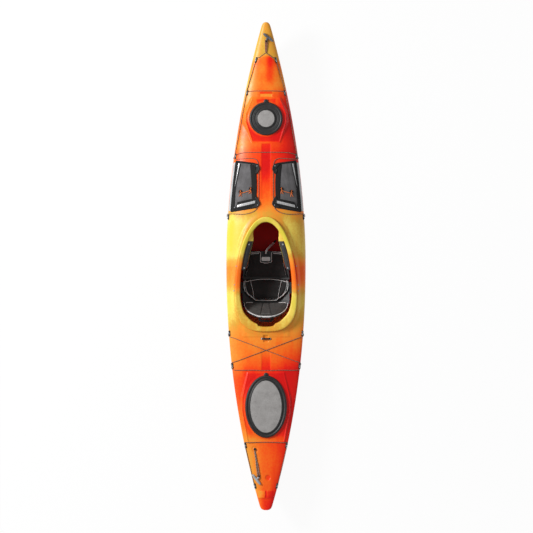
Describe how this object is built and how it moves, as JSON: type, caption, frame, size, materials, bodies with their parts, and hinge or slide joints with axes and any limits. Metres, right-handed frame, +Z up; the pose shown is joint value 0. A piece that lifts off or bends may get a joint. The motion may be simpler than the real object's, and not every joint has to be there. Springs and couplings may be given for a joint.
{
  "type": "sit-in touring kayak",
  "caption": "Sit-in day touring kayak with bow and stern hatches, deck pockets, adjustable seat with backrest, thigh braces, foot braces, deck lines and carry toggles.",
  "frame": {"origin": "on the ground under the middle of the hull, halfway along its length", "axes": "+Y towards the bow, +X to starboard, +Z up"},
  "size_m": [0.6348, 3.89, 0.3977],
  "materials": {
    "hull_polyethylene": "gloss, streaked yellow to red",
    "black_nylon": "satin",
    "deck_line": "braided",
    "lashing_cord": "braided",
    "hatch_rubber": "matte",
    "hatch_panel": "fine grain",
    "closed_cell_foam": "cut foam",
    "stretch_mesh": "open mesh",
    "black_webbing": "woven",
    "grey_webbing": "woven",
    "seat_fabric": "knitted",
    "back_fabric": "knitted",
    "stainless_steel": "satin",
    "toggle_nylon": "satin",
    "plug_plastic": "satin",
    "buckle_plastic": "satin",
    "moulded_plastic": "fine grain"
  },
  "bodies": {
    "hull": {"hull_shell": "hull_polyethylene", "front_bulkhead": "closed_cell_foam", "rear_bulkhead": "closed_cell_foam", "lock_loop": "stainless_steel", "seat_pan": "moulded_plastic", "seat_cushion": "seat_fabric", "hip_bracket_left": "moulded_plastic", "hip_bracket_right": "moulded_plastic", "thigh_brace_left": "moulded_plastic", "thigh_brace_right": "moulded_plastic", "thigh_pad_left": "closed_cell_foam", "thigh_pad_right": "closed_cell_foam", "foot_rail_left": "moulded_plastic", "foot_rail_right": "moulded_plastic", "pocket_mesh_left": "stretch_mesh", "pocket_mesh_right": "stretch_mesh", "pocket_binding_left": "black_webbing", "pocket_binding_right": "black_webbing", "backrest_pin_left": "stainless_steel", "backrest_pin_right": "stainless_steel", "pad_eye_bow_left": "black_nylon", "pad_eye_bow_right": "black_nylon", "pad_eye_fore_left": "black_nylon", "pad_eye_fore_right": "black_nylon", "pad_eye_middle_left": "black_nylon", "pad_eye_middle_right": "black_nylon", "pad_eye_pocket_left": "black_nylon", "pad_eye_pocket_right": "black_nylon", "pad_eye_cockpit_left": "black_nylon", "pad_eye_cockpit_right": "black_nylon", "pad_eye_rear_deck_left": "black_nylon", "pad_eye_rear_deck_right": "black_nylon", "pad_eye_aft_left": "black_nylon", "pad_eye_aft_right": "black_nylon", "pad_eye_stern_left": "black_nylon", "pad_eye_stern_right": "black_nylon", "front_deck_line": "deck_line", "bow_cross_line": "deck_line", "fore_cross_line": "deck_line", "rear_deck_bungee": "deck_line", "stern_deck_line": "deck_line", "stern_toggle_anchor": "black_nylon"},
    "bow_hatch": {"bow_hatch_cover": "hatch_rubber", "bow_hatch_panel": "hatch_panel"},
    "stern_hatch": {"stern_hatch_cover": "hatch_rubber", "stern_hatch_panel": "hatch_panel"},
    "bow_toggle": {"bow_toggle": "toggle_nylon", "bow_toggle_lashing": "lashing_cord"},
    "stern_toggle": {"stern_toggle": "toggle_nylon", "stern_toggle_lashing": "lashing_cord"},
    "backrest": {"backrest_frame": "moulded_plastic", "backrest_cushion": "back_fabric", "backrest_handle": "black_webbing"},
    "leg_rest": {"leg_lift_plate": "moulded_plastic", "leg_rest_cushion": "seat_fabric", "leg_lift_buckle": "buckle_plastic", "leg_lift_strap": "grey_webbing"},
    "foot_pedal_left": {"foot_pedal_left": "moulded_plastic"},
    "foot_pedal_right": {"foot_pedal_right": "moulded_plastic"},
    "drain_plug": {"drain_plug": "plug_plastic"}
  },
  "joints": [
    {"name": "bow_hatch_lift", "type": "slide", "parent": "hull", "child": "bow_hatch", "axis": [0, 0, 1], "range_m": [0, 0.12]},
    {"name": "stern_hatch_lift", "type": "slide", "parent": "hull", "child": "stern_hatch", "axis": [0, 0, 1], "range_m": [0, 0.12]},
    {"name": "bow_toggle_swing", "type": "hinge", "parent": "hull", "child": "bow_toggle", "pos_m": [0, 1.69793, 0.34765], "axis": [1, 0, 0], "range_deg": [0, 100]},
    {"name": "stern_toggle_swing", "type": "hinge", "parent": "hull", "child": "stern_toggle", "pos_m": [-0.0881, -1.4694, 0.28219], "axis": [-1, 0, 0], "range_deg": [0, 80]},
    {"name": "backrest_recline", "type": "hinge", "parent": "hull", "child": "backrest", "pos_m": [0, -0.31367, 0.134], "axis": [1, 0, 0], "range_deg": [-10, 13]},
    {"name": "leg_rest_lift", "type": "hinge", "parent": "hull", "child": "leg_rest", "pos_m": [0, -0.08568, 0.06502], "axis": [1, 0, 0], "range_deg": [0, 12]},
    {"name": "foot_pedal_slide_left", "type": "slide", "parent": "hull", "child": "foot_pedal_left", "axis": [0.1078, 0.9942, 0], "range_m": [-0.25, 0.11]},
    {"name": "foot_pedal_slide_right", "type": "slide", "parent": "hull", "child": "foot_pedal_right", "axis": [-0.1078, 0.9942, 0], "range_m": [-0.25, 0.11]},
    {"name": "drain_plug_turn", "type": "hinge", "parent": "hull", "child": "drain_plug", "pos_m": [0, -1.945, 0.235], "axis": [0, 1, 0], "continuous": true}
  ]
}
